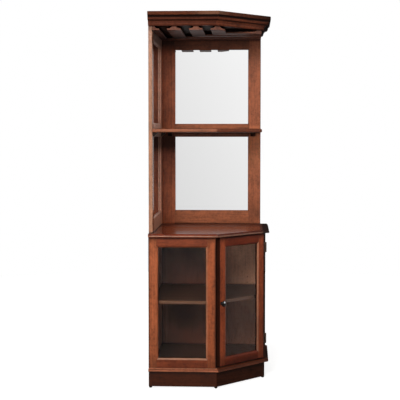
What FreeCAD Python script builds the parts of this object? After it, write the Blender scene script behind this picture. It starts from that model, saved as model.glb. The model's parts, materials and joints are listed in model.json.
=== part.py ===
# Corner bar cabinet: a five-sided base with two fixed glazed faces and a glazed
# door across the corner, a mirrored open hutch above it with one shelf, and a
# cornice that holds an L-shaped stemware rack.
import FreeCAD
import Part
import math
import os

V = FreeCAD.Vector

# All sizes are in millimetres. A plan point is (a, b): a is the distance from
# the wall on the left, b the distance from the wall at the back. Local axes of
# a flat member are s along it, n outward from its back and z up.

# Plan of the base
body_run = 596.0            # body along each wall, from the room corner to a face
corner_cut = 248.0          # taken off the front corner, along each wall, by the diagonal
wall_panel_thick = 16.0     # carcase sides against the walls
shelf_thick = 16.0          # loose shelf in the base

# Heights, from the floor up
glide_height = 8.0
plinth_height = 80.0
ledge_height = 16.0         # base moulding, level with the floor panel
face_height = 669.0         # fixed frames, from the base moulding to the counter
counter_thick = 17.0
total_height = 1905.0
top_board_thick = 18.0

# Plinth and glides
plinth_inset = 4.0          # plinth face behind the body face
plinth_thick = 18.0
glide_radius = 8.0
glide_round = 1.0
glide_collar = 3.0          # narrower neck of a glide, under the plinth
glide_nail_radius = 1.2
glide_nail_length = 12.0
nail_clearance = 0.2

# Overhang of each moulded edge in front of the body face
ledge_overhang = 17.0
ledge_lip = 9.0             # upright edge of the base moulding
ledge_step = 6.5            # cove above the lip, inward
ledge_step_rise = 2.5
counter_overhang = 20.0
counter_lip = 6.0           # upright edge of the counter
counter_step = 1.5          # small step above the lip
counter_round = 9.5         # rounded shoulder, inward
crown_overhang = 24.0
top_board_round = 2.5

# Glazed frames of the base: the two fixed faces and the door
frame_thick = 20.0
frame_setback = 6.0         # fixed frames stop this short of the plan corner
face_stile = 50.0
face_bottom_rail = 51.0
face_top_rail = 53.0
sticking_width = 8.5        # sloped inner edge of a frame, seen from the front
sticking_depth = 5.0
rabbet_width = 7.0
rabbet_lip = 8.0            # wood left in front of the glass
glass_thick = 4.0
glass_gap = 1.0             # round the edge of a pane
retainer_thick = 6.0

# Door
door_side_gap = 15.35       # from the plan corner to the door, along the diagonal
door_stile = 47.0
door_gap_below = 8.0
door_gap_above = 5.0
door_back_gap = 2.0         # between the door and the edge of the carcase
jamb_thick = 18.0
jamb_width = 25.0
header_height = 30.0

# Door furniture
knob_inset = 14.0           # knob axis from the latch edge of the door
knob_rise = 322.0           # knob axis above the bottom of the door
knob_radius = 15.5
knob_neck_radius = 5.0
knob_foot_radius = 8.0
knob_projection = 24.0
knob_foot_thick = 2.0
knob_flare = 3.0            # length of each curve between neck and foot or head
knob_head_depth = 12.0
knob_rim = 2.5              # rounding at the widest part of the head
knob_screw_radius = 2.0
knob_screw_head_radius = 4.0
knob_screw_head = 2.5
knob_screw_bite = 10.0      # depth of the bore in the knob
screw_clearance = 0.2
hinge_length = 50.0
hinge_leaf = 2.0
hinge_leaf_width = 19.0
hinge_knuckle_radius = 4.5
hinge_pin_radius = 2.0
hinge_pin_clearance = 0.08
hinge_pin_head = 1.5
hinge_pin_head_radius = 3.0
hinge_joint_gap = 0.4       # between neighbouring knuckles of a hinge
hinge_pin_out = 1.5         # pin axis outside the side face of the body
hinge_pin_forward = 4.5     # pin axis in front of the plan corner
hinge_upper_drop = 71.0     # top of the door to the middle of the upper hinge
hinge_lower_rise = 101.0    # bottom of the door to the middle of the lower hinge
hinge_screw_radius = 1.6
hinge_screw_head_radius = 3.2
hinge_screw_length = 13.0
hinge_screw_spacing = 30.0
catch_length = 40.0
catch_height = 14.0
catch_depth = 22.0
strike_thick = 1.5
catch_air = 0.3

# Loose shelf of the base
shelf_rise = 325.0          # floor panel to the underside of the shelf
shelf_side_gap = 1.0
shelf_front_gap = 6.0       # behind the fixed frames
shelf_jamb_gap = 1.5
pin_radius = 2.5
pin_hole_clearance = 0.15
pin_bite = 8.0
pin_reach = 12.0
pin_pad_half = 5.0
pin_pad_thick = 2.0
pin_pitch = 32.0            # between neighbouring shelf heights
pin_hole_count = 5
pin_back_inset = 74.0       # rear column of holes, from the inside of a wall panel
pin_front_inset = 76.0      # front column of holes, from the back of a fixed frame

# Hutch
hutch_setback = 24.0        # hutch front behind the body face
hutch_thick = 20.0
hutch_outer_stile = 70.0
hutch_corner_stile = 75.0   # seen width beside the room corner
mirror_bottom_rail = 76.0
mirror_lower_height = 412.0
mirror_mid_rail = 73.0
mirror_top_rail = 124.0
mirror_sticking = 5.0
mirror_sticking_depth = 4.0
mirror_rabbet = 9.0
mirror_thick = 4.0
backer_thick = 4.0

# Shelf of the hutch
mid_shelf_rise = 512.0      # counter to the underside of the shelf
mid_shelf_thick = 18.0
mid_shelf_overhang = 4.0    # in front of the hutch panels
mid_shelf_trim = 1.0        # its square front edges are this much shorter than the base's
mid_shelf_nose = 6.0
bracket_width = 23.0
bracket_height = 20.0
bracket_depth = 22.0
bracket_leg = 5.0
bracket_back_inset = 45.0   # rear brackets, from the face of the other panel
bracket_front_inset = 42.0  # front brackets, from the front of a panel

# Cornice and stemware rack
crown_foot = 8.0            # thickness of the cornice at its lower edge
crown_bead_out = 6.5
crown_bead_rise = 15.5
crown_cove_out = 12.5
crown_cove_rise = 11.5
crown_ovolo_out = 9.0
crown_ovolo_rise = 16.0
crown_top_rise = 8.0
crown_step = 1.6            # flat step between two members
rack_board_thick = 18.0
rail_width = 70.0
rail_neck = 21.0
rail_height = 20.5
rail_edge = 8.5             # upright edge of a rail's flange
rail_slot = 40.0            # between the flanges of two rails
rail_count = 3              # whole rails beside the half rail on each hutch panel

# Sizes that follow from the ones above
root_half = math.sqrt(0.5)
tan_half = math.tan(math.radians(22.5))
face_run = body_run - corner_cut
body = (body_run, face_run)
plinth_top = glide_height + plinth_height
floor_top = plinth_top + ledge_height
counter_bottom = floor_top + face_height
counter_top = counter_bottom + counter_thick
top_board_bottom = total_height - top_board_thick
crown_height = crown_bead_rise + crown_cove_rise + crown_ovolo_rise + crown_top_rise
crown_bottom = top_board_bottom - crown_height
hutch_run = body_run - hutch_setback
glass_low = floor_top + face_bottom_rail
glass_high = counter_bottom - face_top_rail
diagonal_run = corner_cut / root_half
carcase_edge = -(frame_setback + frame_thick) * root_half
door_back = carcase_edge + door_back_gap
door_left = door_side_gap
door_right = diagonal_run - door_side_gap
door_low = floor_top + door_gap_below
door_high = counter_bottom - door_gap_above
knob_height = door_low + knob_rise
shelf_bottom = floor_top + shelf_rise
half_span = (body_run + crown_overhang) / 2


def at(a, b, z=0.0):
    """Point at plan distances a and b from the walls."""
    return V(a, -b, z)


def prism(points, z0, z1):
    """Upright prism over a plan polygon."""
    wire = Part.makePolygon([at(a, b, z0) for a, b in points + points[:1]])
    return Part.Face(wire).extrude(V(0, 0, z1 - z0))


def block(a0, a1, b0, b1, z0, z1):
    return prism([(a0, b0), (a1, b0), (a1, b1), (a0, b1)], z0, z1)


def outline(plan, out=0.0, wall=0.0):
    """Five-sided plan, with its room faces moved outward by out."""
    far = plan[0] + out
    near = plan[1] + out * tan_half
    return [(wall, wall), (far, wall), (far, near), (near, far), (wall, far)]


def mirrored(shape):
    """The same piece on the other side of the cabinet's plane of symmetry."""
    return shape.mirror(V(0, 0, 0), V(1, 1, 0))


def local_box(s0, s1, n0, n1, z0, z1):
    """Box in a flat member's own axes, n growing outward."""
    return Part.makeBox(s1 - s0, n1 - n0, z1 - z0, V(s0, -n1, z0))


def local_prism(points, n0, n1):
    """Prism through a flat member's thickness over a polygon of (s, z)."""
    wire = Part.makePolygon([V(s, -n1, z) for s, z in points + points[:1]])
    return Part.Face(wire).extrude(V(0, n1 - n0, 0))


def seat(shape, origin, angle, out=0.0):
    """Places a member: its local axes turn by angle and move outward by out."""
    placed = shape.copy()
    placed.translate(V(0, -out, 0))
    placed.rotate(V(0, 0, 0), V(0, 0, 1), angle)
    placed.translate(origin)
    return placed


def on_left_face(shape, out=0.0):
    return seat(shape, at(0, body_run), 0, out)


def on_diagonal(shape, out=0.0):
    return seat(shape, at(face_run, body_run), 45, out)


def on_back_wall(shape):
    return seat(shape, V(0, 0, 0), 0)


def profile_wire(steps, point):
    """Closed wire through steps; a step of two pairs is an arc by way of the first."""
    edges = []
    first = here = point(*steps[0])
    for step in steps[1:]:
        if isinstance(step[0], tuple):
            middle = point(*step[0])
            end = point(*step[1])
            edges.append(Part.Arc(here, middle, end).toShape())
        else:
            end = point(*step)
            edges.append(Part.LineSegment(here, end).toShape())
        here = end
    edges.append(Part.LineSegment(here, first).toShape())
    return Part.Wire(edges)


def bowed(start, end, bow=0.207):
    """Arc step to end that bows to the left by bow of its chord; 0.207 is a quarter circle."""
    across = end[0] - start[0]
    up = end[1] - start[1]
    middle = ((start[0] + end[0]) / 2 - bow * up, (start[1] + end[1]) / 2 + bow * across)
    return middle, end


def moulded_board(plan, edge, wall=0.0):
    """Board over the plan whose room edges all carry one profile.

    edge runs from the underside to the top as pairs (overhang, z).
    """
    run, face = plan
    deep = 2 * run
    far = 3 * run
    low = edge[0][1]
    high = edge[-1][1] if not isinstance(edge[-1][0], tuple) else edge[-1][1][1]
    board = block(wall, far, wall, far, low, high)
    sides = [(at(0, run), 0), (at(face, run), 45), (at(run, face), 90)]
    for origin, angle in sides:
        wire = profile_wire([(-deep, low)] + edge + [(-deep, high)], lambda n, z: V(-far, -n, z))
        slab = Part.Face(wire).extrude(V(3 * far, 0, 0))
        board = board.common(seat(slab, origin, angle))
    return board


def mitred(ring, z0, z1):
    """Cuts a ring at the two plan corners into left, diagonal and right pieces."""
    reach = face_run / 2
    outer = outline(body, reach)
    inner = outline(body, -reach)
    pieces = []
    for corner in (4, 3, 2):
        wedge = [inner[corner], outer[corner], outer[corner - 1], inner[corner - 1]]
        pieces.append(ring.common(prism(wedge, z0, z1)))
    return pieces


def framed(s0, s1, z0, z1, thick, across, heights, slope, slope_depth, rabbet, lip):
    """Frame with its stiles full height, rails between and a mitred sloped edge.

    across is the clear opening in s and heights holds each one in z. Returns the
    two stiles and the rails from the bottom up, with the back at n = 0.
    """
    left, right = across
    whole = local_box(s0, s1, 0, thick, z0, z1)
    for low, high in heights:
        whole = whole.cut(local_box(left, right, 0, thick, low, high))
        whole = whole.cut(local_box(left - rabbet, right + rabbet, 0, thick - lip,
                                    low - rabbet, high + rabbet))
        front = Part.makePolygon([V(s, -thick, z) for s, z in (
            (left - slope, low - slope), (right + slope, low - slope),
            (right + slope, high + slope), (left - slope, high + slope),
            (left - slope, low - slope))])
        foot = Part.makePolygon([V(s, slope_depth - thick, z) for s, z in (
            (left, low), (right, low), (right, high), (left, high), (left, low))])
        whole = whole.cut(Part.makeLoft([front, foot], True, True))
    bottoms = [None] + [high for low, high in heights]
    tops = [low for low, high in heights] + [None]
    rails = []
    rest = whole
    for bottom, top in zip(bottoms, tops):
        if bottom is None:
            lower = [(left - slope, z0), (right + slope, z0)]
        else:
            lower = [(left - slope, bottom + slope), (left, bottom), (right, bottom),
                     (right + slope, bottom + slope)]
        if top is None:
            upper = [(right + slope, z1), (left - slope, z1)]
        else:
            upper = [(right + slope, top - slope), (right, top), (left, top),
                     (left - slope, top - slope)]
        zone = local_prism(lower + upper, 0, thick)
        rails.append(whole.common(zone))
        rest = rest.cut(zone)
    stiles = sorted(rest.Solids, key=lambda solid: solid.CenterOfMass.x)
    return stiles[0], stiles[-1], rails


def pane(across, height, rabbet, front, thick, gap):
    """Sheet of glass or board held in a rabbet, its front face at n = front."""
    return local_box(across[0] - rabbet + gap, across[1] + rabbet - gap, front - thick, front,
                     height[0] - rabbet + gap, height[1] + rabbet - gap)


def retainers(across, height, rabbet, front, thick):
    """Four strips that close a rabbet behind its glass."""
    left, right = across
    low, high = height
    spans = [(left - rabbet, left, low - rabbet, high + rabbet),
             (right, right + rabbet, low - rabbet, high + rabbet),
             (left, right, low - rabbet, low),
             (left, right, high, high + rabbet)]
    return [local_box(a0, a1, front - thick, front, b0, b1) for a0, a1, b0, b1 in spans]


def turned(points, centre, radius_axis, axis):
    """Solid of revolution through (distance along the axis, radius) steps."""
    wire = profile_wire(points, lambda d, r: centre + axis * d + radius_axis * r)
    return Part.Face(wire).revolve(centre, axis, 360)


def dome(d, r, tip):
    """Arc of a turned section from (d, r) to the tip, centred on the axis."""
    centre = (d * d + r * r - tip * tip) / (2 * (d - tip))
    radius = tip - centre
    half = math.atan2(r, d - centre) / 2
    return (centre + radius * math.cos(half), radius * math.sin(half)), (tip, 0)


def plinth_and_ledge():
    """Plinth boards, rear rails, base moulding and glides."""
    back = plinth_inset + plinth_thick
    ring = prism(outline(body, -plinth_inset), glide_height, plinth_top)
    ring = ring.cut(prism(outline(body, -back), glide_height, plinth_top))
    boards = mitred(ring, glide_height, plinth_top)
    rail = block(0, plinth_thick, plinth_thick, body_run - back, glide_height, plinth_top)
    rails = [rail, block(0, body_run - back, 0, plinth_thick, glide_height, plinth_top)]
    lip = (ledge_overhang, plinth_top + ledge_lip)
    step = (ledge_overhang - ledge_step, lip[1] + ledge_step_rise)
    edge = [(ledge_overhang, plinth_top), lip, bowed(lip, step), bowed(step, (0.0, floor_top), 0.1)]
    ledge = moulded_board(body, edge).cut(prism(outline(body, -frame_thick), plinth_top, floor_top))
    ledges = mitred(ledge, plinth_top, floor_top)
    middle = plinth_inset + plinth_thick / 2
    glides = []
    for a, b in outline(body, -middle, plinth_thick / 2):
        steps = [(0, 0), (0, glide_radius - glide_round), (glide_round, glide_radius),
                 (glide_height - glide_collar, glide_radius),
                 (glide_height, glide_radius - 2 * glide_round), (glide_height, glide_nail_radius),
                 (glide_height + glide_nail_length, glide_nail_radius),
                 (glide_height + glide_nail_length, 0)]
        glides.append(turned(steps, at(a, b), V(1, 0, 0), V(0, 0, 1)))
        hole = Part.makeCylinder(glide_nail_radius + nail_clearance,
                                 glide_nail_length + nail_clearance, at(a, b, glide_height))
        boards = [board.cut(hole) for board in boards]
        rails = [piece.cut(hole) for piece in rails]
    return boards, rails, ledges, glides


def fixed_face():
    """Left glazed face: stiles, rails, pane and retainers. The right is its mirror image."""
    width = face_run - frame_setback
    across = (face_stile, width - face_stile)
    height = (glass_low, glass_high)
    frame = framed(0, width, floor_top, counter_bottom, frame_thick, across, [height],
                   sticking_width, sticking_depth, rabbet_width, rabbet_lip)
    front = frame_thick - rabbet_lip
    glass = pane(across, height, rabbet_width, front, glass_thick, glass_gap)
    strips = retainers(across, height, rabbet_width, front - glass_thick, retainer_thick)
    pieces = [frame[0], frame[1]] + frame[2] + [glass] + strips
    return [on_left_face(piece, -frame_thick) for piece in pieces]


def door_frame():
    """Door stiles and rails with their pane and retainers, in the door's own axes."""
    across = (door_left + door_stile, door_right - door_stile)
    height = (glass_low, glass_high)
    frame = framed(door_left, door_right, door_low, door_high, frame_thick, across, [height],
                   sticking_width, sticking_depth, rabbet_width, rabbet_lip)
    front = frame_thick - rabbet_lip
    glass = pane(across, height, rabbet_width, front, glass_thick, glass_gap)
    strips = retainers(across, height, rabbet_width, front - glass_thick, retainer_thick)
    return frame, glass, strips


def jamb_end():
    """Position along the diagonal where the left jamb stops."""
    return carcase_edge + frame_thick / root_half + jamb_width


def left_jamb():
    """Post behind the corner, between a fixed frame and the doorway."""
    inner = carcase_edge - jamb_thick
    corners = [(carcase_edge + frame_thick / root_half, carcase_edge), (jamb_end(), carcase_edge),
               (jamb_end(), inner), (inner + frame_thick / root_half, inner)]
    wire = Part.makePolygon([V(s, -n, floor_top) for s, n in corners + corners[:1]])
    return on_diagonal(Part.Face(wire).extrude(V(0, 0, face_height)))


def knob_and_screw():
    """Turned knob on the latch stile and the screw that holds it from behind."""
    s = door_left + knob_inset
    face = V(s, -frame_thick, knob_height)
    out = V(0, -1, 0)
    up = V(0, 0, 1)
    head = knob_projection - knob_head_depth
    bore = knob_screw_radius + screw_clearance
    foot_edge = (knob_foot_thick, knob_foot_radius)
    neck_start = (knob_foot_thick + knob_flare, knob_neck_radius)
    neck_end = (head - knob_flare, knob_neck_radius)
    rim_start = (head + knob_rim, knob_radius - knob_rim)
    rim_end = (head + 3 * knob_rim, knob_radius - knob_rim)
    steps = [(knob_screw_bite, 0), (knob_screw_bite, bore), (0, bore), (0, knob_foot_radius),
             foot_edge, bowed(foot_edge, neck_start, -0.15), neck_end,
             bowed(neck_end, rim_start, -0.12), bowed(rim_start, rim_end, 0.5),
             dome(rim_end[0], rim_end[1], knob_projection)]
    knob = turned(steps, face, up, out)
    start = V(s, 0, knob_height)
    length = frame_thick + knob_screw_bite - screw_clearance
    screw = Part.makeCylinder(knob_screw_radius, length, start, out)
    screw = screw.fuse(Part.makeCylinder(knob_screw_head_radius, knob_screw_head, start, out))
    hole = Part.makeCylinder(bore, frame_thick, start, out)
    hole = hole.fuse(Part.makeCylinder(knob_screw_head_radius + screw_clearance,
                                       knob_screw_head, start, out))
    return knob, screw, hole


def hinge_axis():
    """Plan position of the hinge pins."""
    return body_run + hinge_pin_out, face_run + hinge_pin_forward


def hinge_centres():
    return [door_high - hinge_upper_drop, door_low + hinge_lower_rise]


def barrel(radius, z0, z1):
    a, b = hinge_axis()
    return Part.makeCylinder(radius, z1 - z0, at(a, b, z0))


def hinge(middle):
    """One butt hinge with cranked leaves: body leaf, door leaf and pin."""
    a, b = hinge_axis()
    low = middle - hinge_length / 2
    high = middle + hinge_length / 2
    third = hinge_length / 3
    end = face_run - frame_setback
    crank = body_run - hinge_leaf / 2
    own = [(low, low + third - hinge_joint_gap), (high - third + hinge_joint_gap, high)]
    shared = (low + third, high - third)
    fixed = block(crank + hinge_leaf - hinge_leaf_width, crank + hinge_leaf, end, end + hinge_leaf,
                  low, high)
    arm = block(crank, crank + hinge_leaf, end, b, *shared)
    fixed = fixed.fuse([arm, barrel(hinge_knuckle_radius, *shared)])
    swing_s = ((a - face_run) + (body_run - b)) * root_half
    flat = local_box(door_right, door_right + hinge_leaf, frame_thick - hinge_leaf_width + hinge_leaf,
                     frame_thick, low, high)
    moving = [on_diagonal(flat, door_back)]
    for z0, z1 in own:
        arm = local_box(door_right, swing_s, frame_thick - hinge_leaf, frame_thick, z0, z1)
        moving += [on_diagonal(arm, door_back), barrel(hinge_knuckle_radius, z0, z1)]
    moving = moving[0].fuse(moving[1:])
    bore = barrel(hinge_pin_radius + hinge_pin_clearance, low, high)
    foot = low - hinge_joint_gap
    top = high + hinge_joint_gap
    pin = barrel(hinge_pin_radius, foot, top)
    pin = pin.fuse([barrel(hinge_pin_head_radius, foot - hinge_pin_head, foot),
                    barrel(hinge_pin_head_radius, top, top + hinge_pin_head)])
    return fixed.cut(bore), moving.cut(bore), pin


def countersunk(start, direction):
    """Hinge screw with a flat head, its head flush at start, and the hole it needs."""
    def body_of(grow):
        cone = Part.makeCone(hinge_screw_head_radius + grow, hinge_screw_radius + grow, hinge_leaf,
                             start, direction)
        shank = Part.makeCylinder(hinge_screw_radius + grow, hinge_screw_length + grow, start,
                                  direction)
        return cone.fuse(shank)
    return body_of(0), body_of(screw_clearance)


def shelf_pin():
    """Spoon pin in a face at y = 0, pointing to -y, with its pad top at z = 0."""
    stem = Part.makeCylinder(pin_radius, pin_bite + pin_reach, V(0, pin_bite, -pin_radius),
                             V(0, -1, 0))
    pad = Part.makeBox(2 * pin_pad_half, pin_reach, pin_pad_thick,
                       V(-pin_pad_half, -pin_reach, -pin_pad_thick))
    return stem.fuse(pad)


def pin_holes(face_point, angle):
    """Column of shelf pin holes above and below the shelf, bored at face_point."""
    holes = []
    for step in range(pin_hole_count):
        z = shelf_bottom - pin_radius + (step - pin_hole_count // 2) * pin_pitch
        hole = Part.makeCylinder(pin_radius + pin_hole_clearance, pin_bite + pin_hole_clearance,
                                 V(0, 0, z), V(0, 1, 0))
        holes.append(seat(hole, face_point, angle))
    return holes


def base_shelf():
    """Loose shelf, notched round the jambs."""
    wall = wall_panel_thick + shelf_side_gap
    front = body_run - frame_thick - shelf_front_gap
    top = shelf_bottom + shelf_thick
    shelf = block(wall, front, wall, front, shelf_bottom, top)
    keep = on_diagonal(local_box(-body_run, 2 * body_run, -2 * body_run, carcase_edge - door_back_gap,
                                 shelf_bottom, top))
    notch = local_box(-body_run, jamb_end() + shelf_jamb_gap,
                      carcase_edge - jamb_thick - shelf_jamb_gap, 0, shelf_bottom, top)
    notch = on_diagonal(notch)
    return shelf.common(keep).cut(notch).cut(mirrored(notch))


def hutch_frame(start, corner_stile):
    """Frame of one hutch panel with two mirror openings, on the wall along s."""
    outer = hutch_run - hutch_outer_stile
    across = (start + corner_stile, outer)
    low = counter_top + mirror_bottom_rail
    split = low + mirror_lower_height
    heights = [(low, split), (split + mirror_mid_rail, top_board_bottom - mirror_top_rail)]
    frame = framed(start, hutch_run, counter_top, top_board_bottom, hutch_thick, across, heights,
                   mirror_sticking, mirror_sticking_depth, mirror_rabbet,
                   hutch_thick - mirror_thick - 2 * backer_thick)
    front = mirror_thick + 2 * backer_thick
    mirrors = [pane(across, height, mirror_rabbet, front, mirror_thick, glass_gap)
               for height in heights]
    backers = [pane(across, height, mirror_rabbet, front - mirror_thick, backer_thick, 0)
               for height in heights]
    return frame, mirrors, backers


def bracket():
    """Shelf support under the hutch shelf, on a panel at n = hutch_thick."""
    z1 = counter_top + mid_shelf_rise
    z0 = z1 - bracket_height
    out = hutch_thick + bracket_depth
    points = [(hutch_thick, z0), (hutch_thick + bracket_leg, z0), (out, z1 - bracket_leg),
              (out, z1), (hutch_thick, z1)]
    wire = Part.makePolygon([V(-bracket_width / 2, -n, z) for n, z in points + points[:1]])
    return Part.Face(wire).extrude(V(bracket_width, 0, 0))


def crown_edge():
    """Section of the cornice from its lower edge up to the top board."""
    members = [(crown_bead_out, crown_bead_rise, -0.12), (crown_cove_out, crown_cove_rise, 0.15),
               (crown_ovolo_out, crown_ovolo_rise, -0.15)]
    here = (crown_foot - hutch_setback, crown_bottom)
    steps = [here]
    for out, rise, bow in members:
        end = (here[0] + out, here[1] + rise)
        here = (end[0] + crown_step, end[1])
        steps += [bowed((end[0] - out, end[1] - rise), end, bow), here]
    top = (crown_overhang - crown_step, top_board_bottom)
    return steps + [bowed(here, top)]


def rail_section(against_wall):
    """Section of a stemware rail hung at z = 0; the one against a wall panel is half of it."""
    half = rail_width / 2
    neck = rail_neck / 2
    base = -rail_height
    flare_x = neck + 0.27 * (half - neck)
    flare_z = base + rail_edge + 0.33 * (rail_height - rail_edge)
    steps = [(half, base), (half, base + rail_edge), ((flare_x, flare_z), (neck, 0.0))]
    if against_wall:
        return steps + [(0.0, 0.0), (0.0, base)]
    return steps + [(-neck, 0.0), ((-flare_x, flare_z), (-half, base + rail_edge)), (-half, base)]


def stemware_rails():
    """Arms of the L-shaped rails that run to the left front, from the corner outward."""
    pitch = rail_width + rail_slot
    low = crown_bottom - rail_height
    under = prism(outline(body, -hutch_setback, hutch_thick), low, crown_bottom)
    mitre = prism([(0, 0), (hutch_run, hutch_run), (0, hutch_run)], low, crown_bottom)
    arms = []
    for index in range(rail_count + 1):
        centre = hutch_thick + index * pitch
        wire = profile_wire(rail_section(index == 0),
                            lambda x, z: at(centre + x, 0, crown_bottom + z))
        arm = Part.Face(wire).extrude(V(0, -hutch_run, 0))
        arms.append(arm.common(mitre).common(under))
    return arms


def build():
    """All pieces in plan axes: node name to a list of solids."""
    nodes = {}

    boards, rails, ledges, glides = plinth_and_ledge()
    for side, board, ledge in zip(("left", "diagonal", "right"), boards, ledges):
        nodes["plinth_" + side] = [board]
        nodes["base_moulding_" + side] = [ledge]
    nodes["plinth_back_rails"] = rails
    nodes["glides"] = glides
    nodes["base_bottom_panel"] = [prism(outline(body, -frame_thick), plinth_top, floor_top)]

    face = fixed_face()
    parts = ["stile_wall", "stile_door", "bottom_rail", "top_rail", "glass"]
    for part, piece in zip(parts, face):
        nodes["left_face_" + part] = [piece]
        nodes["right_face_" + part] = [mirrored(piece)]
    strips = face[len(parts):]
    nodes["face_glass_retainers"] = strips + [mirrored(strip) for strip in strips]

    jamb = left_jamb()
    nodes["door_jambs"] = [jamb, mirrored(jamb)]
    header = local_box(jamb_end(), diagonal_run - jamb_end(), carcase_edge - jamb_thick,
                       carcase_edge, counter_bottom - header_height, counter_bottom)
    nodes["door_header_rail"] = [on_diagonal(header)]

    back = body_run - frame_thick
    left_wall = block(0, wall_panel_thick, wall_panel_thick, back, floor_top, counter_bottom)
    back_wall = block(0, back, 0, wall_panel_thick, floor_top, counter_bottom)
    pins = []
    for along in (wall_panel_thick + pin_back_inset, back - pin_front_inset):
        spot = at(along, wall_panel_thick)
        for hole in pin_holes(spot, 0):
            back_wall = back_wall.cut(hole)
            left_wall = left_wall.cut(mirrored(hole))
        pin = shelf_pin()
        pin.translate(spot + V(0, 0, shelf_bottom))
        pins += [pin, mirrored(pin)]
    nodes["left_wall_panel"] = [left_wall]
    nodes["back_wall_panel"] = [back_wall]
    nodes["shelf_pins"] = pins
    nodes["adjustable_shelf"] = [base_shelf()]

    lip = (counter_overhang, counter_bottom + counter_lip)
    step = (counter_overhang - counter_step, lip[1] + counter_step / 3)
    shoulder = (step[0] - counter_round, counter_top)
    edge = [(counter_overhang, counter_bottom), lip, step, bowed(step, shoulder, -0.207)]
    nodes["countertop"] = [moulded_board(body, edge)]

    add_door(nodes)
    add_hutch(nodes)
    add_crown(nodes)
    return nodes


def add_door(nodes):
    """Door with its knob, hinges and catch."""
    frame, glass, strips = door_frame()
    knob, screw, screw_hole = knob_and_screw()
    latch_stile = frame[0].cut(screw_hole)
    hinge_stile = on_diagonal(frame[1], door_back)
    body_stile = nodes["right_face_stile_door"][0]

    body_leaves, door_leaves, hinge_pins, body_screws, door_screws = [], [], [], [], []
    mid_leaf = hinge_leaf_width / 2
    for middle in hinge_centres():
        fixed, moving, pin = hinge(middle)
        for offset in (-hinge_screw_spacing / 2, hinge_screw_spacing / 2):
            z = middle + offset
            end = face_run - frame_setback + hinge_leaf
            spot = at(body_run - mid_leaf, end, z)
            screw_body, hole = countersunk(spot, V(0, 1, 0))
            fixed = fixed.cut(hole)
            body_stile = body_stile.cut(hole)
            body_screws.append(screw_body)
            spot = V(door_right + hinge_leaf, mid_leaf - frame_thick, z)
            pair = countersunk(spot, V(-1, 0, 0))
            screw_body, hole = [on_diagonal(piece, door_back) for piece in pair]
            moving = moving.cut(hole)
            hinge_stile = hinge_stile.cut(hole)
            door_screws.append(screw_body)
        body_leaves.append(fixed)
        door_leaves.append(moving)
        hinge_pins.append(pin)
    nodes["right_face_stile_door"] = [body_stile]
    nodes["hinge_body_leaves"] = body_leaves
    nodes["hinge_door_leaves"] = door_leaves
    nodes["hinge_pins"] = hinge_pins
    nodes["hinge_body_screws"] = body_screws
    nodes["hinge_door_screws"] = door_screws

    nodes["door_latch_stile"] = [on_diagonal(latch_stile, door_back)]
    nodes["door_hinge_stile"] = [hinge_stile]
    nodes["door_bottom_rail"] = [on_diagonal(frame[2][0], door_back)]
    nodes["door_top_rail"] = [on_diagonal(frame[2][1], door_back)]
    nodes["door_glass"] = [on_diagonal(glass, door_back)]
    nodes["door_glass_retainers"] = [on_diagonal(strip, door_back) for strip in strips]
    nodes["door_knob"] = [on_diagonal(knob, door_back)]
    nodes["knob_screw"] = [on_diagonal(screw, door_back)]

    catch_top = counter_bottom - header_height
    catch_left = jamb_end() + shelf_jamb_gap
    strike_back = door_back - strike_thick
    catch_front = strike_back - catch_air
    catch = local_box(catch_left, catch_left + catch_length, catch_front - catch_depth, catch_front,
                      catch_top - catch_height, catch_top)
    strike = local_box(catch_left, catch_left + catch_length, strike_back, door_back,
                       catch_top - catch_height, catch_top)
    nodes["magnetic_catch"] = [on_diagonal(catch)]
    nodes["catch_strike_plate"] = [on_diagonal(strike)]


def add_hutch(nodes):
    """Two framed mirror panels, the shelf between them and its supports."""
    back = hutch_frame(hutch_thick, hutch_corner_stile)
    left = hutch_frame(0, hutch_thick + hutch_corner_stile)
    panels = [("back", back, on_back_wall), ("left", left, mirrored)]
    backers = []
    for side, (frame, mirrors, boards), place in panels:
        nodes["hutch_" + side + "_corner_stile"] = [place(frame[0])]
        nodes["hutch_" + side + "_front_stile"] = [place(frame[1])]
        nodes["hutch_" + side + "_rails"] = [place(rail) for rail in frame[2]]
        nodes["hutch_" + side + "_mirrors"] = [place(sheet) for sheet in mirrors]
        backers += [place(board) for board in boards]
    nodes["mirror_backers"] = backers

    low = counter_top + mid_shelf_rise
    high = low + mid_shelf_thick
    nose = mid_shelf_nose
    edge = [(-nose, low), bowed((-nose, low), (0, low + nose), -0.207), (0, high - nose),
            bowed((0, high - nose), (-nose, high), -0.207)]
    plan = (hutch_run + mid_shelf_overhang, face_run - mid_shelf_trim)
    nodes["mid_shelf"] = [moulded_board(plan, edge, hutch_thick)]
    supports = []
    for along in (hutch_thick + bracket_back_inset, hutch_run - bracket_front_inset):
        support = bracket()
        support.translate(at(along, 0))
        supports += [support, mirrored(support)]
    nodes["shelf_brackets"] = supports


def add_crown(nodes):
    """Cornice, top board, rack board and the stemware rails under it."""
    core = prism(outline(body, -hutch_setback), crown_bottom, top_board_bottom)
    ring = moulded_board(body, crown_edge()).cut(core)
    pieces = mitred(ring, crown_bottom, top_board_bottom)
    for side, piece in zip(("left", "diagonal", "right"), pieces):
        nodes["crown_moulding_" + side] = [piece]
    rack = prism(outline(body, -hutch_setback, hutch_thick), crown_bottom,
                 crown_bottom + rack_board_thick)
    nodes["rack_board"] = [rack]
    shoulder = (crown_overhang, total_height - top_board_round)
    edge = [(crown_overhang, top_board_bottom), shoulder,
            bowed(shoulder, (crown_overhang - top_board_round, total_height), -0.207)]
    nodes["crown_top_board"] = [moulded_board(body, edge)]
    arms = stemware_rails()
    nodes["stemware_rails_left"] = arms
    nodes["stemware_rails_right"] = [mirrored(arm) for arm in arms]


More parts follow.
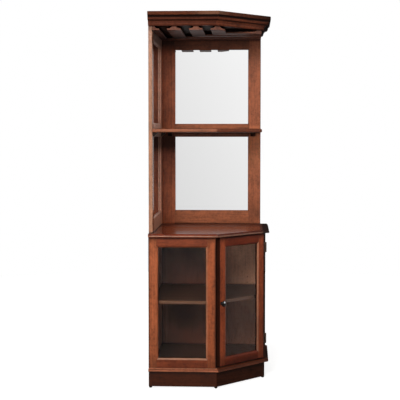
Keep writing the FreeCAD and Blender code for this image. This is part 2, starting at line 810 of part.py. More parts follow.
def export(nodes):
    """Moves every node to the part's origin, under the middle of its box, and writes it."""
    os.makedirs("parts", exist_ok=True)
    for name, solids in sorted(nodes.items()):
        shapes = []
        for solid in solids:
            piece = solid.removeSplitter()
            piece.translate(V(-half_span, half_span, 0))
            shapes += piece.Solids
        shape = shapes[0] if len(shapes) == 1 else Part.makeCompound(shapes)
        shape.exportStep(os.path.join("parts", name + ".step"))


export(build())
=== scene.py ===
import bpy
import math
import json
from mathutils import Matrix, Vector


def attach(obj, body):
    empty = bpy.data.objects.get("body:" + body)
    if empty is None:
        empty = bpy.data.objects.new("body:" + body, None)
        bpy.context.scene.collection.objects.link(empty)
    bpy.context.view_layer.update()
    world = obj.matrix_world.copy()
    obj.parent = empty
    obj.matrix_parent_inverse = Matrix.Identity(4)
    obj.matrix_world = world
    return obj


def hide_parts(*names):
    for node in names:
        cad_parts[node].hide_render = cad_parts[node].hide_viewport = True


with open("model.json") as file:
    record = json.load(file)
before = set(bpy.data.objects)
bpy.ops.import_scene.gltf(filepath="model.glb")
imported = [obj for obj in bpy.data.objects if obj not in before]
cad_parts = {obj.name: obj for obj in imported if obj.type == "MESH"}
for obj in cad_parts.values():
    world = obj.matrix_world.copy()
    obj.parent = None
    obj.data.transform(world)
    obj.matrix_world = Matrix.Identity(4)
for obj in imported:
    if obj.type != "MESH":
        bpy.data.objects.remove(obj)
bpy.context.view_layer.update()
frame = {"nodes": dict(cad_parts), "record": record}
record_slots = {part["node"]: part["material_slot"] for part in frame["record"]["subparts"]}
bodies = frame["record"]["behaviour"]["bodies"]
body_of = {node: body for body, members in bodies.items() for node in members}
MM = 0.001  # metres
QUARTER = math.pi / 2  # a quarter turn
SLANT = math.sqrt(0.5)  # share of each axis in a direction at 45 degrees

# Directions of the cabinet: its left face looks to -y, its right face to +x, and the door between them
across_x, across_y, up = (1.0, 0.0, 0.0), (0.0, 1.0, 0.0), (0.0, 0.0, 1.0)
along_door = (SLANT, SLANT, 0.0)
across_door = (SLANT, -SLANT, 0.0)


# Tools for materials

def linear(code):
    """An sRGB hex colour as the linear RGBA that shaders take."""
    parts = [int(code[i:i + 2], 16) / 255 for i in (1, 3, 5)]
    return [c / 12.92 if c <= 0.04045 else ((c + 0.055) / 1.055) ** 2.4 for c in parts] + [1.0]


def add(tree, kind, inputs=None, **settings):
    """Adds a shader node. An input is a plain value or the socket it is linked from."""
    node = tree.nodes.new("ShaderNode" + kind)
    for key, value in settings.items():
        setattr(node, key, value)
    for key, value in (inputs or {}).items():
        if isinstance(value, bpy.types.NodeSocket):
            tree.links.new(value, node.inputs[key])
        else:
            node.inputs[key].default_value = value
    return node


def new_material(name):
    """An empty material and its node tree."""
    material = bpy.data.materials.new(name)
    material.use_nodes = True
    material.node_tree.nodes.clear()
    return material, material.node_tree


def scaled(colour, factor):
    """A linear colour, lighter or darker by a factor."""
    return [channel * factor for channel in colour[:3]] + [1.0]


def ramp(tree, factor, stops):
    """A colour ramp through (position, linear colour) stops."""
    node = add(tree, "ValToRGB", {"Fac": factor})
    line = node.color_ramp
    for position, colour in stops[1:-1]:
        line.elements.new(position)
    for element, (position, colour) in zip(line.elements, stops):
        element.position = position
        element.color = colour
    return node.outputs["Color"]


def layered(tree, share, below, above):
    """A colour with another laid over a share of it."""
    return add(tree, "Mix", {"Factor": share, 6: below, 7: above}, data_type="RGBA").outputs[2]


def seen_directly(tree, path):
    """One for rays straight from the camera, also through glass, and nothing for the rest."""
    return add(tree, "Math", {0: path.outputs["Is Camera Ray"], 1: path.outputs["Is Transmission Ray"]},
               operation="MAXIMUM").outputs[0]


# Wood: maple and birch members under a cherry stain, dark glazing and a satin lacquer, with painted
# highlights and painted shade

grain_turns = {"x": (0.0, 0.0, 0.0), "y": (0.0, 0.0, QUARTER), "z": (0.0, QUARTER, 0.0),
               "diagonal": (0.0, 0.0, -QUARTER / 2)}
figure_stops = (0.33, 0.45, 0.53, 0.68)


def faded(tree, away, reach, strength):
    """Strength up to half the reach, fading to nothing at one and a half times it."""
    return add(tree, "MapRange", {"Value": away, "From Min": 0.5 * reach, "From Max": 1.5 * reach,
                                  "To Min": strength, "To Max": 0.0}).outputs["Result"]


def band_mask(tree, place, across, middle, half_width, strength):
    """Strength inside a band at right angles to a direction, fading out over its edges."""
    reach = add(tree, "VectorMath", {0: place, 1: across}, operation="DOT_PRODUCT").outputs["Value"]
    off = add(tree, "Math", {0: reach, 1: middle}, operation="SUBTRACT").outputs[0]
    away = add(tree, "Math", {0: off}, operation="ABSOLUTE").outputs[0]
    return faded(tree, away, half_width, strength)


def pool_mask(tree, place, middle, radius, strength):
    """Strength in a round pool about a point, fading out over its edge."""
    away = add(tree, "VectorMath", {0: place, 1: middle}, operation="DISTANCE").outputs["Value"]
    return faded(tree, away, radius, strength)


def on_face(tree, place, mask, face):
    """Keeps a mask to one face of a member: none of it at the first depth, all of it at the second."""
    if face is None:
        return mask
    along, none_at, all_at = face
    depth = add(tree, "VectorMath", {0: place, 1: along}, operation="DOT_PRODUCT").outputs["Value"]
    share = add(tree, "MapRange", {"Value": depth, "From Min": none_at, "From Max": all_at,
                                   "To Min": 0.0, "To Max": 1.0}).outputs["Result"]
    return add(tree, "Math", {0: mask, 1: share}, operation="MULTIPLY").outputs[0]


def stained_wood(name, grain, stain, gloss=0.4, sheen=0.4, contrast=1.0, relief=0.2, wiped="#c39a7c",
                 bands=(), rubbed=(), pools=(), corners=0.9, face=None):
    """Stained wood with its grain along one direction of the cabinet.

    The stain takes unevenly, in soft blotches 40 to 90 mm across and mottles of
    about 12 mm, over streaks of grain 3 to 8 mm wide and ten times as long. Dark,
    dull glazing fills the pores, and occlusion darkens angles, grooves and joints
    toward it: dark glazing at joints, painted shade elsewhere. Each shade band and
    each shade pool is painted shade and shadow, a few of them dark glazing at
    joints. Each highlight band is a painted highlight and painted reflection, in
    the highlight tone. A band is its direction, middle, half width and strength,
    and a pool its middle, radius and strength. All of them keep to one face of a
    member, if that is given.
    """
    material, tree = new_material(name)
    # The dark glazing colour serves the pores and painted shade; the highlight tone is the colour of
    # painted highlights
    tone, glaze_and_shade_tone, highlight_colour = linear(stain), linear("#150805"), linear(wiped)
    place = add(tree, "TexCoord").outputs["Object"]
    along = add(tree, "Mapping", {"Vector": place, "Rotation": grain_turns[grain]}).outputs["Vector"]
    long_grain = add(tree, "Mapping", {"Vector": along, "Scale": (9.0, 120.0, 120.0)}).outputs["Vector"]
    fine_grain = add(tree, "Mapping", {"Vector": along, "Scale": (30.0, 700.0, 700.0)}).outputs["Vector"]
    soft = add(tree, "Mapping", {"Vector": along, "Scale": (11.0, 20.0, 20.0)}).outputs["Vector"]
    blotches = add(tree, "TexNoise", {"Vector": soft, "Scale": 1.0, "Detail": 4.0, "Roughness": 0.65,
                                      "Distortion": 0.4}).outputs["Fac"]
    mottles = add(tree, "TexNoise", {"Vector": along, "Scale": 85.0, "Detail": 2.0,
                                     "Roughness": 0.6}).outputs["Fac"]
    streaks = add(tree, "TexNoise", {"Vector": long_grain, "Scale": 1.0, "Detail": 4.0,
                                     "Roughness": 0.6, "Distortion": 0.5}).outputs["Fac"]
    pores = add(tree, "TexNoise", {"Vector": fine_grain, "Scale": 1.0, "Detail": 2.0,
                                   "Roughness": 0.6}).outputs["Fac"]
    uneven = add(tree, "Mix", {"Factor": 0.45, 2: blotches, 3: mottles}).outputs[0]
    figure = add(tree, "Mix", {"Factor": 0.62, 2: streaks, 3: uneven}).outputs[0]
    depth = [1.0 + contrast * step for step in (-0.62, -0.2, 0.1, 0.55)]
    colour = ramp(tree, figure, [(spot, scaled(tone, share))
                                 for spot, share in zip(figure_stops, depth)])
    pore_mask = add(tree, "MapRange", {"Value": pores, "From Min": 0.56, "From Max": 0.72,
                                       "To Min": 0.0, "To Max": 0.3}).outputs["Result"]
    colour = layered(tree, pore_mask, colour, glaze_and_shade_tone)
    # Painted highlights and reflections: each highlight band lays a paler colour over the wood
    if rubbed:
        pale = ramp(tree, figure, [(spot, scaled(highlight_colour, share))
                                   for spot, share in zip(figure_stops, (0.6, 0.9, 1.05, 1.3))])
    for band in rubbed:
        lit_share = on_face(tree, place, band_mask(tree, place, *band), face)
        colour = layered(tree, lit_share, colour, pale)
    # Painted shade: occlusion darkens angles and grooves toward the dark glazing colour, real glazing
    # only at joints
    corner = add(tree, "AmbientOcclusion", {"Distance": 0.012}, samples=8).outputs["AO"]
    glaze_and_shade_share = add(tree, "MapRange", {"Value": corner, "From Min": 0.45, "From Max": 0.98,
                                    "To Min": corners, "To Max": 0.0}).outputs["Result"]
    # Painted shade and shadow in each shade band and shade pool, with dark glazing at a few joints
    dark = [band_mask(tree, place, *band) for band in bands]
    dark += [pool_mask(tree, place, *pool) for pool in pools]
    for mask in dark:
        kept = on_face(tree, place, mask, face)
        glaze_and_shade_share = add(tree, "Math", {0: glaze_and_shade_share, 1: kept}, operation="MAXIMUM").outputs[0]
    colour = layered(tree, glaze_and_shade_share, colour, glaze_and_shade_tone)
    satin = add(tree, "MapRange", {"Value": streaks, "From Min": 0.3, "From Max": 0.7,
                                   "To Min": gloss - 0.04, "To Max": gloss + 0.06}).outputs["Result"]
    rough = add(tree, "Mix", {"Factor": glaze_and_shade_share, 2: satin, 3: 0.75}).outputs[0]
    height = add(tree, "Mix", {"Factor": 0.5, 2: streaks, 3: pores}).outputs[0]
    bump = add(tree, "Bump", {"Strength": relief, "Distance": 0.4 * MM,
                              "Height": height}).outputs["Normal"]
    shader = add(tree, "BsdfPrincipled", {"Base Color": colour, "Roughness": rough, "Normal": bump,
                                          "IOR": 1.45, "Specular IOR Level": sheen})
    add(tree, "OutputMaterial", {"Surface": shader.outputs["BSDF"]})
    return material


def hardboard():
    """Plain brown hardboard: pressed fibres 1 to 3 mm long, quite dull."""
    material, tree = new_material("pressed_hardboard")
    place = add(tree, "TexCoord").outputs["Object"]
    fibres = add(tree, "TexNoise", {"Vector": place, "Scale": 450.0, "Detail": 3.0,
                                    "Roughness": 0.7}).outputs["Fac"]
    colour = ramp(tree, fibres, [(0.3, linear("#3d2a1d")), (0.5, linear("#513827")),
                                 (0.7, linear("#624632"))])
    bump = add(tree, "Bump", {"Strength": 0.3, "Distance": 0.4 * MM, "Height": fibres}).outputs["Normal"]
    shader = add(tree, "BsdfPrincipled", {"Base Color": colour, "Roughness": 0.75, "Normal": bump,
                                          "IOR": 1.5})
    add(tree, "OutputMaterial", {"Surface": shader.outputs["BSDF"]})
    return material


def float_glass():
    """Clear float glass, 4 mm, with the faintest dust.

    Its reflections are as faint as the real pane shows in a bright room, by a low
    IOR, and lamps shine through it to the shelves.
    """
    material, tree = new_material("clear_float_glass")
    place = add(tree, "TexCoord").outputs["Object"]
    dust = add(tree, "TexNoise", {"Vector": place, "Scale": 14.0, "Detail": 4.0}).outputs["Fac"]
    rough = add(tree, "MapRange", {"Value": dust, "From Min": 0.4, "From Max": 0.8,
                                   "To Min": 0.0, "To Max": 0.02}).outputs["Result"]
    pane = add(tree, "BsdfPrincipled", {"Base Color": linear("#f4f2ef"), "Roughness": rough,
                                        "IOR": 1.2, "Transmission Weight": 1.0})
    clear = add(tree, "BsdfTransparent", {"Color": linear("#efece8")})
    path = add(tree, "LightPath")
    passing = add(tree, "Math", {0: path.outputs["Is Shadow Ray"], 1: path.outputs["Is Diffuse Ray"]},
                  operation="MAXIMUM").outputs[0]
    both = add(tree, "MixShader", {0: passing, 1: pane.outputs["BSDF"], 2: clear.outputs["BSDF"]})
    add(tree, "OutputMaterial", {"Surface": both.outputs["Shader"]})
    return material


def silvered_mirror():
    """Silvered flat mirror with a little haze from cleaning."""
    material, tree = new_material("silvered_mirror_glass")
    place = add(tree, "TexCoord").outputs["Object"]
    haze = add(tree, "TexNoise", {"Vector": place, "Scale": 6.0, "Detail": 3.0}).outputs["Fac"]
    rough = add(tree, "MapRange", {"Value": haze, "From Min": 0.4, "From Max": 0.8,
                                   "To Min": 0.01, "To Max": 0.03}).outputs["Result"]
    shader = add(tree, "BsdfPrincipled", {"Base Color": linear("#f7f7f7"), "Roughness": rough,
                                          "Metallic": 1.0})
    add(tree, "OutputMaterial", {"Surface": shader.outputs["BSDF"]})
    return material


def metal(name, tones, roughness, scale, highlight_at=None):
    """Plated or bronzed metal with small changes of tone where hands and tools touch it.

    A bright spot round one point, if that is given, is a painted highlight.
    """
    material, tree = new_material(name)
    place = add(tree, "TexCoord").outputs["Object"]
    patina = add(tree, "TexNoise", {"Vector": place, "Scale": scale, "Detail": 4.0}).outputs["Fac"]
    colour = ramp(tree, patina, [(at, linear(code)) for at, code in tones])
    # Painted highlight: a bright spot in the metal round one point
    if highlight_at:
        away = add(tree, "VectorMath", {0: place, 1: highlight_at}, operation="DISTANCE").outputs["Value"]
        bright = add(tree, "MapRange", {"Value": away, "From Min": 0.005, "From Max": 0.009,
                                        "To Min": 1.0, "To Max": 0.0}).outputs["Result"]
        colour = layered(tree, bright, colour, linear("#dcdcdf"))
    rough = add(tree, "MapRange", {"Value": patina, "From Min": 0.3, "From Max": 0.7,
                                   "To Min": roughness - 0.05,
                                   "To Max": roughness + 0.1}).outputs["Result"]
    shader = add(tree, "BsdfPrincipled", {"Base Color": colour, "Roughness": rough, "Metallic": 1.0})
    add(tree, "OutputMaterial", {"Surface": shader.outputs["BSDF"]})
    return material


def black_plastic():
    """Moulded black plastic with a fine matt texture."""
    material, tree = new_material("moulded_black_plastic")
    place = add(tree, "TexCoord").outputs["Object"]
    grit = add(tree, "TexNoise", {"Vector": place, "Scale": 1800.0, "Detail": 2.0}).outputs["Fac"]
    colour = ramp(tree, grit, [(0.3, linear("#121212")), (0.7, linear("#1f1e1d"))])
    bump = add(tree, "Bump", {"Strength": 0.2, "Distance": 0.2 * MM, "Height": grit}).outputs["Normal"]
    shader = add(tree, "BsdfPrincipled", {"Base Color": colour, "Roughness": 0.5, "Normal": bump,
                                          "IOR": 1.46})
    add(tree, "OutputMaterial", {"Surface": shader.outputs["BSDF"]})
    return material


# Bronzed supports stay dark, hinges are worn to a pale brown, the knob carries a painted highlight, a
# bright spot in its metal, and bright zinc shows on screws, catch and plate
knob_highlight_spot = (0.0760, -0.2800, 0.4405)
glass = float_glass()
mirror = silvered_mirror()
board = hardboard()
bronze = metal("dark_bronze", [(0.3, "#2a2421"), (0.6, "#3d3430"), (0.8, "#57493f")], 0.28, 60.0)
worn_bronze = metal("worn_bronze", [(0.3, "#5a4b41"), (0.6, "#75655a"), (0.8, "#8d7c6f")], 0.4, 60.0)
highlighted_bronze = metal("polished_dark_bronze", [(0.3, "#2c2827"), (0.6, "#3b3634"), (0.8, "#4d4744")],
                        0.2, 60.0, highlight_at=knob_highlight_spot)
zinc = metal("zinc_plated_steel", [(0.3, "#8f8f8c"), (0.7, "#b9b8b2")], 0.35, 90.0)
plastic = black_plastic()

by_slot = {"hardboard": board, "clear_glass": glass, "silvered_mirror": mirror, "dark_bronze": bronze,
           "zinc_steel": zinc, "black_plastic": plastic}


# Wooden members: the CAD shape with its sharp edges eased, grain along each member

wood_arris, metal_arris = 1.2 * MM, 0.35 * MM


def dress(node, material):
    """Gives a CAD node its finish."""
    data = frame["nodes"][node].data
    data.materials.clear()
    data.materials.append(material)


def eased(node, material, radius, suffix="_wood"):
    """Puts a member with its sharp edges rounded by radius in place of a CAD node."""
    piece = bpy.data.objects.new(node + suffix, frame["nodes"][node].data.copy())
    bpy.context.scene.collection.objects.link(piece)
    piece.data.materials.clear()
    piece.data.materials.append(material)
    bpy.ops.object.select_all(action="DESELECT")
    piece.select_set(True)
    bpy.context.view_layer.objects.active = piece
    bpy.ops.object.mode_set(mode="EDIT")
    bpy.ops.mesh.select_all(action="SELECT")
    bpy.ops.mesh.remove_doubles(threshold=0.02 * MM)
    bpy.ops.mesh.dissolve_limited(angle_limit=math.radians(0.4))
    bpy.ops.mesh.customdata_custom_splitnormals_clear()
    bpy.ops.object.mode_set(mode="OBJECT")
    bpy.ops.object.shade_smooth()
    edge = piece.modifiers.new("arris", "BEVEL")
    edge.width = radius
    edge.segments = 2
    edge.limit_method = "ANGLE"
    edge.angle_limit = math.radians(28.0)
    edge.harden_normals = True
    level = piece.modifiers.new("level", "WEIGHTED_NORMAL")
    level.weight = 100
    bpy.ops.object.modifier_apply(modifier=edge.name)
    bpy.ops.object.modifier_apply(modifier=level.name)
    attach(piece, body_of[node])
    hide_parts(node)


# Heights near which painted shade and shadow gather, with dark glazing at joints, and the faces that
# marks keep to
moulding_top, counter_under = 0.104, 0.773
door_foot, door_head = 0.112, 0.768
# Painted shade under the counter, above the base moulding and at the door's foot and head; painted
# shadow of the ledge on the plinth
face_end_shade = [(up, moulding_top, 0.05, 0.35), (up, counter_under, 0.025, 0.5)]
door_end_shade = [(up, door_foot, 0.05, 0.4), (up, door_head, 0.02, 0.4)]
plinth_shadow = [(up, 0.088, 0.012, 0.6)]
under_shelf, under_rack = 1.25, 1.86
left_shadows = [(up, under_shelf, 0.05, 0.75), (up, under_rack, 0.1, 0.85), (up, 1.805, 0.05, 0.75)]
left_inside, back_inside = (across_x, -0.302, -0.297), (across_y, 0.302, 0.297)
post_front = (across_y, -0.258, -0.261)
left_lacquer = {"gloss": 0.3, "sheen": 0.8, "relief": 0.05, "contrast": 0.8, "face": left_inside}

# Finish, grain, stain, members, and what is special about it
wood_finishes = [
    # Painted shade at the stiles' ends and along the outer edge, dark glazing at the rail joint
    ("face_stile", "z", "#995130", ["left_face_stile_wall", "right_face_stile_wall"],
     {"bands": face_end_shade + [(across_x, -0.310, 0.005, 0.85), (across_x, -0.260, 0.003, 0.6)]}),
    # Painted highlight on the door-side sticking slope, painted shade in the groove beside the door
    ("face_stile_inner", "z", "#924a29", ["left_face_stile_door"],
     {"rubbed": [(across_x, -0.0138, 0.0045, 0.2)],
      "bands": face_end_shade + [(across_x, 0.032, 0.006, 0.75)]}),
    # Painted shade along the edge beside the door
    ("face_stile_outer", "z", "#a55f38", ["right_face_stile_door"],
     {"bands": face_end_shade + [(across_y, -0.032, 0.006, 0.95)]}),
    # Painted highlight on the bottom rail's slope, painted shade under the counter
    ("face_rail", "x", "#72341c", ["left_face_bottom_rail", "left_face_top_rail"],
     {"rubbed": [(up, 0.1508, 0.0045, 0.4)], "bands": [(up, counter_under, 0.012, 0.5)]}),
    ("face_rail_right", "y", "#7a3c22", ["right_face_bottom_rail", "right_face_top_rail"], {}),
    # Painted highlight on the hinge stile's slope, painted shade down the door's edges and toward the
    # lower hinge side
    ("door_stile", "z", "#833b1f", ["door_latch_stile", "door_hinge_stile"],
     {"sheen": 0.25, "rubbed": [(along_door, 0.1172, 0.0045, 0.32)],
      "pools": [((0.262, -0.055, 0.2), 0.2, 0.3)],
      "bands": door_end_shade + [(along_door, -0.160, 0.003, 0.92), (along_door, 0.160, 0.003, 1.0)]}),
    # Painted shade at the door's foot
    ("door_rail", "diagonal", "#63240e", ["door_bottom_rail", "door_top_rail"],
     {"sheen": 0.25, "bands": [(up, door_foot, 0.025, 0.5)]}),
    # Painted shadow below the shelf and under the crown, and a dark line beside the mirror
    ("hutch_stile", "z", "#9a5233", ["hutch_back_corner_stile"],
     {"corners": 0.2, "face": back_inside,
      "bands": [(up, under_shelf, 0.05, 0.8), (up, 1.83, 0.065, 0.9),
                (across_x, -0.238, 0.0015, 0.4)]}),
    # Painted light below the shelf and under the crown, painted shade on the outer edge and just above
    # the counter
    ("hutch_stile_front", "z", "#935235", ["hutch_back_front_stile"],
     {"face": back_inside, "wiped": "#f09060",
      "rubbed": [(up, 1.235, 0.075, 0.85), (up, 1.16, 0.09, 0.2), (up, 1.78, 0.07, 0.12)],
      "bands": [(across_x, 0.262, 0.003, 0.6), (up, 0.87, 0.08, 0.35)]}),
    # Painted light over the whole inner face and a painted reflection on the mirror rebate's lip,
    # painted shadow under the shelf and rack
    ("hutch_side_stile", "z", "#a5643f", ["hutch_left_corner_stile"],
     {**left_lacquer, "corners": 0.0, "wiped": "#f2aa88", "bands": left_shadows,
      "rubbed": [(up, 1.3, 9.0, 0.5), (across_y, 0.215, 0.016, 0.95)]}),
    # Painted highlight on the front arris, painted shade under the crown and along the outer edge
    ("hutch_post", "z", "#905b3e", ["hutch_left_front_stile"],
     {"gloss": 0.22, "sheen": 0.8, "relief": 0.05, "face": post_front,
      "rubbed": [(across_y, -0.262, 0.003, 0.2)],
      "bands": [(up, 1.836, 0.03, 0.5), (across_x, -0.310, 0.002, 0.3)]}),
    # Painted shadow under the rack
    ("hutch_rail", "x", "#864b2f", ["hutch_back_rails"],
     {"face": back_inside, "bands": [(up, under_rack, 0.06, 0.5)],
      "pools": [((-0.2, 0.29, under_rack), 0.08, 0.8)]}),
    # Painted light over the inner face, painted reflections on the rails' edges, painted shadow under
    # the shelf and rack
    ("hutch_rail_left", "y", "#a5643f", ["hutch_left_rails"],
     {**left_lacquer, "corners": 0.2, "wiped": "#ffccb4", "bands": left_shadows,
      "rubbed": [(up, 1.3, 9.0, 0.35), (up, 0.8635, 0.004, 0.8), (up, 1.337, 0.04, 0.8)]}),
    # Painted highlight on the nose, painted shade along the diagonal nose
    ("shelf", "x", "#78381c", ["mid_shelf"],
     {"rubbed": [(across_y, -0.266, 0.003, 0.15)], "bands": [(across_door, 0.2142, 0.003, 0.3)]}),
    # Painted highlight along the lip, painted shade toward the back, at the right end and on the
    # diagonal lip
    ("counter", "x", "#6a2b16", ["countertop"],
     {"gloss": 0.14, "sheen": 0.42, "relief": 0.03, "rubbed": [(up, 0.7785, 0.0016, 0.6)],
      "bands": [(across_y, 0.29, 0.15, 0.5), (across_x, 0.285, 0.018, 0.95),
                (across_x, 0.305, 0.018, 0.95), (across_door, 0.247, 0.008, 0.45)]}),
    # Painted highlight at the left, painted shade toward the right end
    ("crown_top", "x", "#522612", ["crown_top_board"],
     {"sheen": 0.12, "rubbed": [(along_door, -0.20, 0.06, 0.14)],
      "bands": [(along_door, 0.25, 0.17, 0.75)]}),
    # Base moulding stains differ by side, matched to how light falls: painted light and shade. Painted
    # highlight on the top edge, painted shade in the profile, toward the right end and on the diagonal
    ("base_moulding_left", "x", "#ad6445", ["base_moulding_left"],
     {"rubbed": [(up, 0.1036, 0.0012, 0.4)],
      "bands": [(up, 0.098, 0.0014, 0.6), (up, 0.0885, 0.0025, 0.6)]}),
    ("base_moulding_right", "y", "#7c3f24", ["base_moulding_right"],
     {"sheen": 0.2, "bands": [(along_door, 0.27, 0.12, 0.9)]}),
    ("base_moulding_diagonal", "diagonal", "#5b2b17", ["base_moulding_diagonal"],
     {"bands": [(up, 0.098, 0.0014, 0.6), (along_door, 0.30, 0.15, 0.5)]}),
    # Plinth stains differ by side, matched to how light falls: painted light and shade, with the ledge's
    # painted shadow along the top
    ("plinth_left", "x", "#3f1907", ["plinth_left"], {"bands": plinth_shadow}),
    ("plinth_right", "y", "#46200f", ["plinth_right"], {"bands": plinth_shadow}),
    ("plinth_diagonal", "diagonal", "#30150a", ["plinth_diagonal"],
     {"sheen": 0.12, "bands": plinth_shadow}),
    # Painted shade on the rails toward the back and the left
    ("stemware_rail", "y", "#6d4130", ["stemware_rails_left"],
     {"gloss": 0.5, "bands": [(across_x, -0.29, 0.035, 0.4), (across_y, 0.29, 0.3, 0.9)]}),
    ("stemware_rail_right", "x", "#6d4130", ["stemware_rails_right"], {"gloss": 0.5})]
# The crown's three sides take stains matched to how light falls on each, painted light and shade; the
# dark lines under the lip are painted shade in the cove, and the right end is darkened by painted shade
for side, grain, stain in (("left", "x", "#5a2f21"), ("right", "y", "#4a261a"),
                           ("diagonal", "diagonal", "#6e3824")):
    wood_finishes.append(("crown_" + side, grain, stain, ["crown_moulding_" + side],
                          {"sheen": 0.12, "bands": [(up, 1.881, 0.0065, 1.0), (up, 1.8625, 0.0018, 0.8),
                                                    (along_door, 0.27, 0.12, 0.95)]}))
for name, grain, stain, members, special in wood_finishes:
    finish = stained_wood("cherry_stained_" + name, grain, stain, **special)
    for member in members:
        eased(member, finish, wood_arris)

# Painted light and shade on the boards behind the glass: painted light toward the upper right of the
# back panel, painted shadow at its upper left, under the shelf and beside the door post, painted
# highlights on the shelf nose
up_right, up_left = (SLANT, 0.0, SLANT), (-SLANT, 0.0, SLANT)
inner_light_and_shade = {
    "back_wall_panel": {
        "face": (across_y, 0.304, 0.298), "wiped": "#e6ac8c",
        "rubbed": [(up_right, 0.70, 0.24, 1.0), (across_x, 0.22, 0.12, 0.18),
                   (across_x, -0.266, 0.006, 0.08)],
        "bands": [(up_left, 0.75, 0.15, 0.9), (across_x, 0.04, 0.06, 0.25)],
        "pools": [((-0.17, 0.294, 0.31), 0.10, 0.6), ((-0.12, 0.294, 0.70), 0.12, 0.75),
                  ((0.27, 0.294, 0.16), 0.09, 0.4)]},
    "rack_board": {"sheen": 0.06},
    "adjustable_shelf": {
        "wiped": "#b98568",
        "rubbed": [(across_y, -0.260, 0.002, 0.28), (across_door, 0.2087, 0.002, 0.1)]}}
# The back and left wall panels take paler stains than the other inner boards, painted light behind the
# glass; the rack board's near-black stain is painted shade in the slots between the rails, and the dark
# stain of jambs, header rail and retainers is painted shade in the gaps round the door and glass
inner_boards = {
    "x": [("#422a1f", ["adjustable_shelf", "base_bottom_panel"]), ("#22130d", ["rack_board"])],
    "y": [("#33211a", ["plinth_back_rails"])],
    "z": [("#835040", ["back_wall_panel"]), ("#784733", ["left_wall_panel"]),
          ("#3a2118", ["door_jambs", "door_header_rail", "face_glass_retainers",
                       "door_glass_retainers"])]}
for grain, boards in inner_boards.items():
    for stain, members in boards:
        special = {"gloss": 0.5, "sheen": 0.3, "contrast": 0.6, **inner_light_and_shade.get(members[0], {})}
        inner_wood = stained_wood("dark_stained_" + members[0], grain, stain, **special)
        for member in members:
            dress(member, inner_wood)
for node, slot_name in record_slots.items():
    if node in ("hinge_body_leaves", "hinge_door_leaves", "hinge_pins"):
        eased(node, worn_bronze, metal_arris, suffix="_metal")
    elif node == "shelf_brackets":
        eased(node, bronze, metal_arris, suffix="_metal")
    elif slot_name in by_slot and node not in ("hutch_back_mirrors", "door_knob"):
        dress(node, by_slot[slot_name])


# Knob: a turned button on a waisted neck, drawn up ring by ring from its foot

knob_foot = (0.0613, -0.2678, 0.434)
foot_radius = 8.0
# Height above the foot and radius of each ring, in millimetres
knob_rings = [(2.0, 8.0), (3.2, 6.2), (5.0, 5.0), (9.0, 5.0), (11.2, 7.6), (13.0, 10.6), (14.5, 13.0),
              (15.6, 14.6), (17.0, 15.5), (18.3, 14.8), (19.5, 13.4), (21.2, 11.0), (22.7, 7.8),
              (23.6, 4.2), (24.0, 1.2)]
bpy.ops.object.select_all(action="DESELECT")
bpy.ops.mesh.primitive_circle_add(vertices=40, radius=foot_radius * MM, fill_type="NGON",
                                  location=(0.0, 0.0, 0.0))
knob = bpy.context.active_object
knob.name = "turned_knob"
bpy.ops.object.mode_set(mode="EDIT")
bpy.ops.mesh.select_all(action="SELECT")
reached, radius = 0.0, foot_radius
for rise, wide in knob_rings:
    bpy.ops.mesh.extrude_region_move(TRANSFORM_OT_translate={"value": (0.0, 0.0, (rise - reached) * MM)})
    bpy.ops.transform.resize(value=(wide / radius, wide / radius, 1.0),
                             center_override=(0.0, 0.0, rise * MM))
    reached, radius = rise, wide
bpy.ops.mesh.select_all(action="SELECT")
bpy.ops.mesh.normals_make_consistent(inside=False)
bpy.ops.object.mode_set(mode="OBJECT")
knob.rotation_euler = (QUARTER, 0.0, QUARTER / 2)
knob.location = knob_foot
bpy.ops.object.transform_apply(location=True, rotation=True, scale=True)
bpy.ops.object.shade_smooth_by_angle(angle=math.radians(50.0))
knob.data.materials.append(highlighted_bronze)
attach(knob, body_of["door_knob"])
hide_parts("door_knob")


# Back mirrors: two cut plates with polished arrises, the upper one leaning back a little

def mirror_plate(name, low, high, lean):
    """A silvered plate between two heights, leaning back about its middle."""
    middle, width, thick = (-0.0115, 0.300, (low + high) / 2), 0.423, 0.004
    bpy.ops.object.select_all(action="DESELECT")
    bpy.ops.mesh.primitive_cube_add(size=1.0, location=middle)
    plate = bpy.context.active_object
    plate.name = name
    plate.scale = (width, thick, high - low)
    bpy.ops.object.transform_apply(location=True, rotation=True, scale=True)
    bpy.ops.object.mode_set(mode="EDIT")
    bpy.ops.mesh.select_all(action="SELECT")
    bpy.ops.mesh.bevel(offset=0.6 * MM, segments=2)
    bpy.ops.mesh.select_all(action="SELECT")
    bpy.ops.transform.rotate(value=lean, orient_axis="X", center_override=(0.0, *middle[1:]))
    bpy.ops.object.mode_set(mode="OBJECT")
    plate.data.materials.append(by_slot["silvered_mirror"])
    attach(plate, body_of["hutch_back_mirrors"])
    return plate


lower_mirror = mirror_plate("lower_back_mirror", 0.858, 1.286, 0.0)
upper_mirror = mirror_plate("upper_back_mirror", 1.343, 1.771, math.radians(0.83))
for plate in (lower_mirror, upper_mirror):
    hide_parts("hutch_back_mirrors")


# Studio: pale floor, white room, a large soft light above the camera and three weaker fills

white = linear("#ffffff")


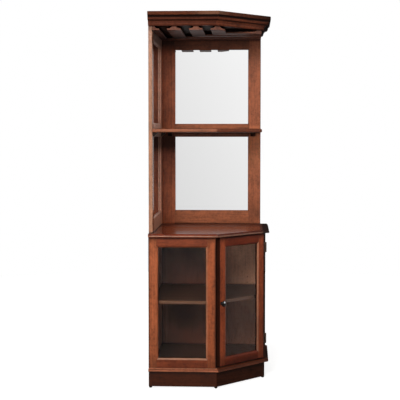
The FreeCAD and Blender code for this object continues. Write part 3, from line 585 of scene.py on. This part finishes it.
def studio_floor():
    """Pale floor that reads white to the camera and keeps a light shadow of the cabinet."""
    bpy.ops.object.select_all(action="DESELECT")
    bpy.ops.mesh.primitive_circle_add(vertices=96, radius=4.0, fill_type="NGON")
    floor = bpy.context.active_object
    floor.name = "studio_floor"
    material, tree = new_material("pale_studio_floor")
    path = add(tree, "LightPath")
    seen = seen_directly(tree, path)
    reach = add(tree, "VectorMath", {0: add(tree, "TexCoord").outputs["Object"]}, operation="LENGTH")
    far = add(tree, "MapRange", {"Value": reach.outputs["Value"], "From Min": 0.6, "From Max": 1.6,
                                 "To Min": 0.86, "To Max": 1.0}).outputs["Result"]
    paint = add(tree, "BsdfDiffuse", {"Color": linear("#a9a7a4")}).outputs[0]
    glow = add(tree, "Emission", {"Color": white, "Strength": far}).outputs[0]
    lifted = add(tree, "AddShader", {0: paint, 1: glow}).outputs[0]
    mixed = add(tree, "MixShader", {0: seen, 1: paint, 2: lifted}).outputs[0]
    add(tree, "OutputMaterial", {"Surface": mixed})
    floor.data.materials.append(material)


def studio_world():
    """White room for the camera and through glass.

    Light comes from a softer one, darker behind the cabinet, and reflections show
    one that dims away from the camera and to the lower left.
    """
    world = bpy.data.worlds.new("white_room")
    bpy.context.scene.world = world
    world.use_nodes = True
    tree = world.node_tree
    tree.nodes.clear()
    path = add(tree, "LightPath")
    way = add(tree, "TexCoord").outputs["Generated"]
    towards = add(tree, "VectorMath", {0: way, 1: (-0.25, -0.96, 0.1)}, operation="DOT_PRODUCT")
    room = add(tree, "MapRange", {"Value": towards.outputs["Value"], "From Min": -0.4, "From Max": 0.9,
                                  "To Min": 0.1, "To Max": 0.22}).outputs["Result"]
    split = add(tree, "SeparateXYZ", {"Vector": way})
    rising = add(tree, "Math", {0: split.outputs["Z"], 1: 0.62, 2: 0.905}, operation="MULTIPLY_ADD")
    drifting = add(tree, "Math", {0: split.outputs["X"], 1: 1.25, 2: rising.outputs[0]},
                   operation="MULTIPLY_ADD").outputs[0]
    wall = add(tree, "Clamp", {"Value": drifting, "Min": 0.3, "Max": 1.0}).outputs[0]
    ahead = add(tree, "MapRange", {"Value": towards.outputs["Value"], "From Min": 0.0,
                                   "From Max": 0.8, "To Min": 0.07, "To Max": 1.0}).outputs["Result"]
    seen_room = add(tree, "Math", {0: wall, 1: ahead}, operation="MULTIPLY").outputs[0]
    beside = add(tree, "MapRange", {"Value": split.outputs["X"], "From Min": 0.0, "From Max": 1.0,
                                    "To Min": 0.0, "To Max": 0.2}).outputs["Result"]
    room = add(tree, "Math", {0: room, 1: beside}, operation="ADD").outputs[0]
    ambient = add(tree, "Background", {"Color": white, "Strength": room}).outputs[0]
    glossy = add(tree, "Background", {"Color": white, "Strength": seen_room}).outputs[0]
    backdrop = add(tree, "Background", {"Color": white, "Strength": 1.0}).outputs[0]
    lit = add(tree, "MixShader", {0: path.outputs["Is Glossy Ray"], 1: ambient, 2: glossy}).outputs[0]
    shown = add(tree, "MixShader", {0: seen_directly(tree, path), 1: lit, 2: backdrop}).outputs[0]
    add(tree, "OutputWorld", {"Surface": shown})


def soft_light(name, place, aim, size, power, spread=180.0, glint=False):
    """A square softbox turned to aim, narrowed to spread by a grid. With glint, reflections show it."""
    lamp = bpy.data.lights.new(name, "AREA")
    lamp.shape = "SQUARE"
    lamp.size = size
    lamp.energy = power
    lamp.spread = math.radians(spread)
    box = bpy.data.objects.new(name, lamp)
    box.visible_glossy = glint
    bpy.context.scene.collection.objects.link(box)
    box.location = place
    box.rotation_euler = (Vector(aim) - Vector(place)).to_track_quat("-Z", "Y").to_euler()


studio_floor()
studio_world()
key_place, key_aim = (-0.8, -4.3, 2.85), (0.0, 0.0, 1.0)
soft_light("key_softbox", key_place, key_aim, 1.4, 24.0, 60.0)
soft_light("key_core", key_place, key_aim, 0.45, 2.4, 60.0, glint=True)
soft_light("right_fill", (4.2, 0.0, 2.0), (0.0, 0.0, 1.2), 2.6, 22.0, glint=True)
soft_light("low_fill", (0.3, -4.8, 0.5), (0.15, 0.29, 0.6), 0.8, 0.45, 40.0)
soft_light("back_fill", (-2.5, 4.0, 2.6), (0.0, 0.2, 0.9), 2.5, 30.0)


# Camera: slightly above the middle of the cabinet, level with the hutch shelf, a little to the right

lens = bpy.data.cameras.new("camera")
lens.sensor_width = 36.0
lens.lens = 88.03
lens.shift_y = -0.0375
camera = bpy.data.objects.new("camera", lens)
bpy.context.scene.collection.objects.link(camera)
camera.location = (0.20014, -5.19583, 1.28989)
camera.rotation_euler = (QUARTER - 0.05137, 0.0, 0.05045)
bpy.context.scene.camera = camera
bpy.context.scene.view_settings.view_transform = "Standard"
